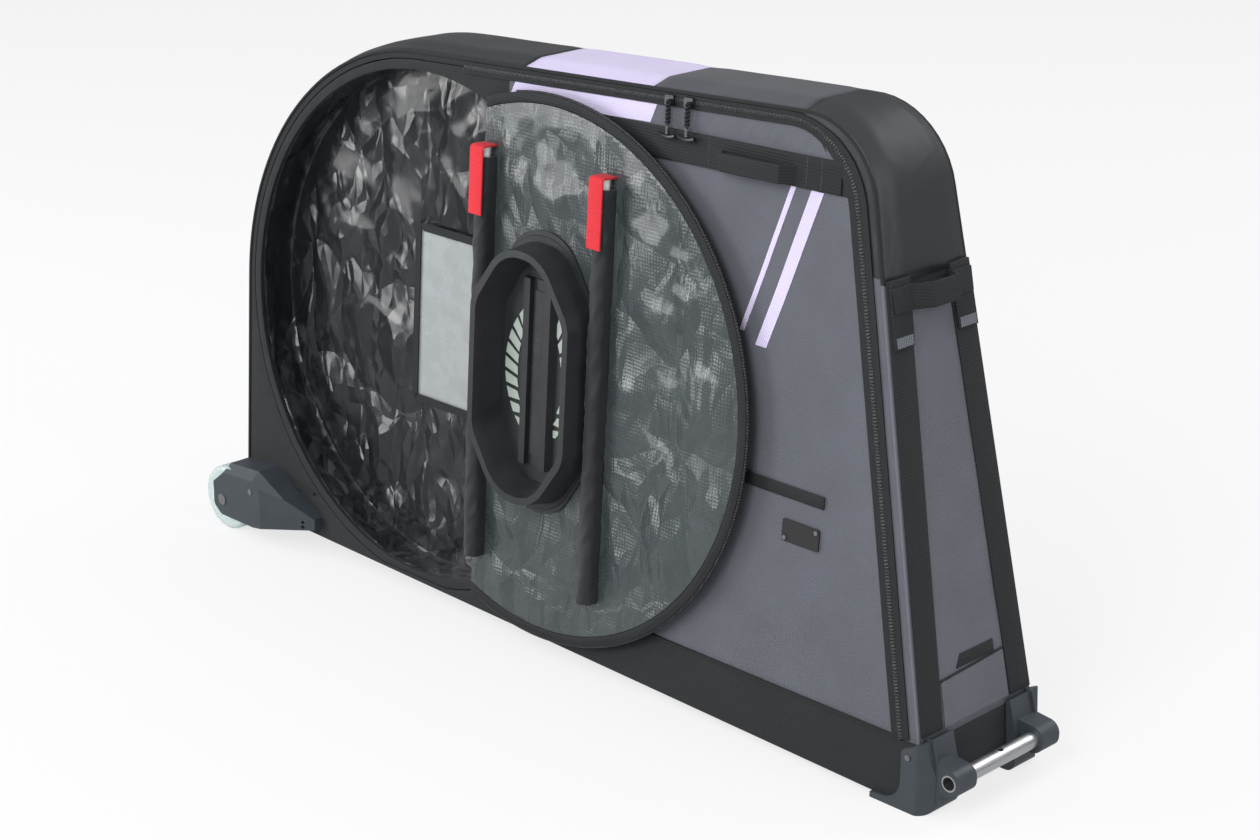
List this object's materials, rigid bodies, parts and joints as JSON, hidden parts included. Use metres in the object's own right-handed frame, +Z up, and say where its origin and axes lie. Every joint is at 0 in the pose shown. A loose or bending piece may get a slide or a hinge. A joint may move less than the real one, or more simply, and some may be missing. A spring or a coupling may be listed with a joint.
{
  "type": "bike travel case",
  "caption": "Soft padded bicycle travel case with a tapering body, an arched rear, round wheel-pocket covers with moulded hub cups, rear rollers, moulded front feet and an aluminium pull bar.",
  "frame": {"origin": "on the floor, under the middle of the case", "axes": "+X along the case towards the pull bar, +Z up, the open cover and the main door at -Y"},
  "size_m": [1.473, 0.3375, 0.8562],
  "materials": {
    "grey_fabric": "matte woven",
    "black_fabric": "matte woven",
    "lilac_fabric": "satin woven",
    "dark_grey_fabric": "matte woven",
    "hood_tarpaulin": "glossy coated",
    "pocket_tarpaulin": "glossy coated",
    "cover_tarpaulin": "satin coated",
    "binding": "matte",
    "sleeve_fabric": "matte woven",
    "red_tape": "matte",
    "webbing": "matte ribbed",
    "rod_plastic": "satin",
    "cup_plastic": "satin moulded",
    "plate_plastic": "satin clear",
    "slate_plastic": "moulded",
    "board_plastic": "matte",
    "foam": "matte",
    "bar_metal": "satin",
    "roller_urethane": "translucent satin",
    "core_plastic": "satin",
    "screw_steel": "satin",
    "slider_metal": "satin",
    "patch_rubber": "matte"
  },
  "bodies": {
    "case": {"base_tray": "black_fabric", "floor_board": "board_plastic", "rear_arch": "black_fabric", "top_panel_lilac": "lilac_fabric", "top_panel_grey": "dark_grey_fabric", "front_hood": "hood_tarpaulin", "end_panel": "grey_fabric", "near_zip_frame": "black_fabric", "far_side_panel": "grey_fabric", "far_pocket_liner": "pocket_tarpaulin", "far_hub_plate": "plate_plastic", "far_cover_welt": "binding", "far_handle": "webbing", "end_handle": "webbing", "end_strap_near": "webbing", "end_strap_far": "webbing", "end_pocket_tab": "webbing", "tie_straps": "webbing", "foot_near": "slate_plastic", "foot_far": "slate_plastic", "roller_housing_near": "slate_plastic", "roller_housing_far": "slate_plastic", "pull_bar": "bar_metal", "foot_screws": "screw_steel", "housing_screws": "screw_steel", "roller_axle_near": "screw_steel", "roller_axle_far": "screw_steel", "frame_block": "foam"},
    "near_panel": {"near_side_panel": "grey_fabric", "near_pocket_liner": "pocket_tarpaulin", "near_hub_plate": "plate_plastic", "near_handle": "webbing", "pocket_zip": "binding", "label_patch": "patch_rubber", "label_rivets": "screw_steel", "near_cover_welt": "binding"},
    "near_cover": {"near_cover_sheet": "cover_tarpaulin", "near_cover_rim": "binding", "near_sleeve_front": "sleeve_fabric", "near_sleeve_rear": "sleeve_fabric", "near_rod_front": "rod_plastic", "near_rod_rear": "rod_plastic", "near_hub_cup": "cup_plastic"},
    "near_tab_front": {"near_tab_front": "red_tape"},
    "near_tab_rear": {"near_tab_rear": "red_tape"},
    "far_cover": {"far_cover_sheet": "cover_tarpaulin", "far_cover_rim": "binding", "far_sleeves": "sleeve_fabric", "far_rods": "rod_plastic", "far_hub_cup": "cup_plastic", "far_tabs": "red_tape"},
    "roller_near": {"roller_tyre_near": "roller_urethane", "roller_core_near": "core_plastic"},
    "roller_far": {"roller_tyre_far": "roller_urethane", "roller_core_far": "core_plastic"},
    "zip_slider_rear": {"main_zip_slider_rear": "slider_metal"},
    "zip_slider_front": {"main_zip_slider_front": "slider_metal"},
    "zip_pull_rear": {"main_zip_pull_rear": "slider_metal"},
    "zip_pull_front": {"main_zip_pull_front": "slider_metal"},
    "pocket_slider": {"pocket_zip_slider": "slider_metal"}
  },
  "joints": [
    {"name": "roller_near_spin", "type": "hinge", "parent": "case", "child": "roller_near", "pos_m": [-0.685, -0.14135, 0.0515], "axis": [0, 1, 0], "continuous": true},
    {"name": "roller_far_spin", "type": "hinge", "parent": "case", "child": "roller_far", "pos_m": [-0.685, 0.14135, 0.0515], "axis": [0, 1, 0], "continuous": true},
    {"name": "near_panel_open", "type": "hinge", "parent": "case", "child": "near_panel", "pos_m": [0, -0.11922, 0.022], "axis": [1, 0, 0], "range_deg": [0, 60]},
    {"name": "near_cover_fold", "type": "hinge", "parent": "near_panel", "child": "near_cover", "pos_m": [-0.144, -0.10193, 0.4152], "axis": [0, 0.0579, 0.9983], "range_deg": [-178.5, 0]},
    {"name": "far_cover_fold", "type": "hinge", "parent": "case", "child": "far_cover", "pos_m": [-0.144, 0.10193, 0.4152], "axis": [0, 0.0579, -0.9983], "range_deg": [0, 178]},
    {"name": "near_tab_front_lift", "type": "hinge", "parent": "near_cover", "child": "near_tab_front", "pos_m": [-0.12818, -0.09263, 0.71652], "axis": [-0.9997, 0.0226, -0.0013], "range_deg": [0, 88]},
    {"name": "near_tab_rear_lift", "type": "hinge", "parent": "near_cover", "child": "near_tab_rear", "pos_m": [0.10976, -0.09802, 0.71683], "axis": [-0.9997, 0.0226, -0.0013], "range_deg": [0, 88]},
    {"name": "zip_slider_rear_run", "type": "slide", "parent": "near_panel", "child": "zip_slider_rear", "axis": [0.9986, 0.003, 0.0522], "range_m": [-0.04, 0]},
    {"name": "zip_slider_front_run", "type": "slide", "parent": "near_panel", "child": "zip_slider_front", "axis": [0.9986, 0.003, 0.0522], "range_m": [0, 0.035]},
    {"name": "zip_pull_rear_swing", "type": "hinge", "parent": "zip_slider_rear", "child": "zip_pull_rear", "pos_m": [0.196, -0.08065, 0.83049], "axis": [-0.9986, -0.003, -0.0522], "range_deg": [0, 120]},
    {"name": "zip_pull_front_swing", "type": "hinge", "parent": "zip_slider_front", "child": "zip_pull_front", "pos_m": [0.23, -0.08054, 0.83227], "axis": [-0.9986, -0.003, -0.0522], "range_deg": [0, 120]},
    {"name": "pocket_slider_run", "type": "slide", "parent": "near_panel", "child": "pocket_slider", "axis": [1, 0, 0], "range_m": [0, 0.15]}
  ]
}
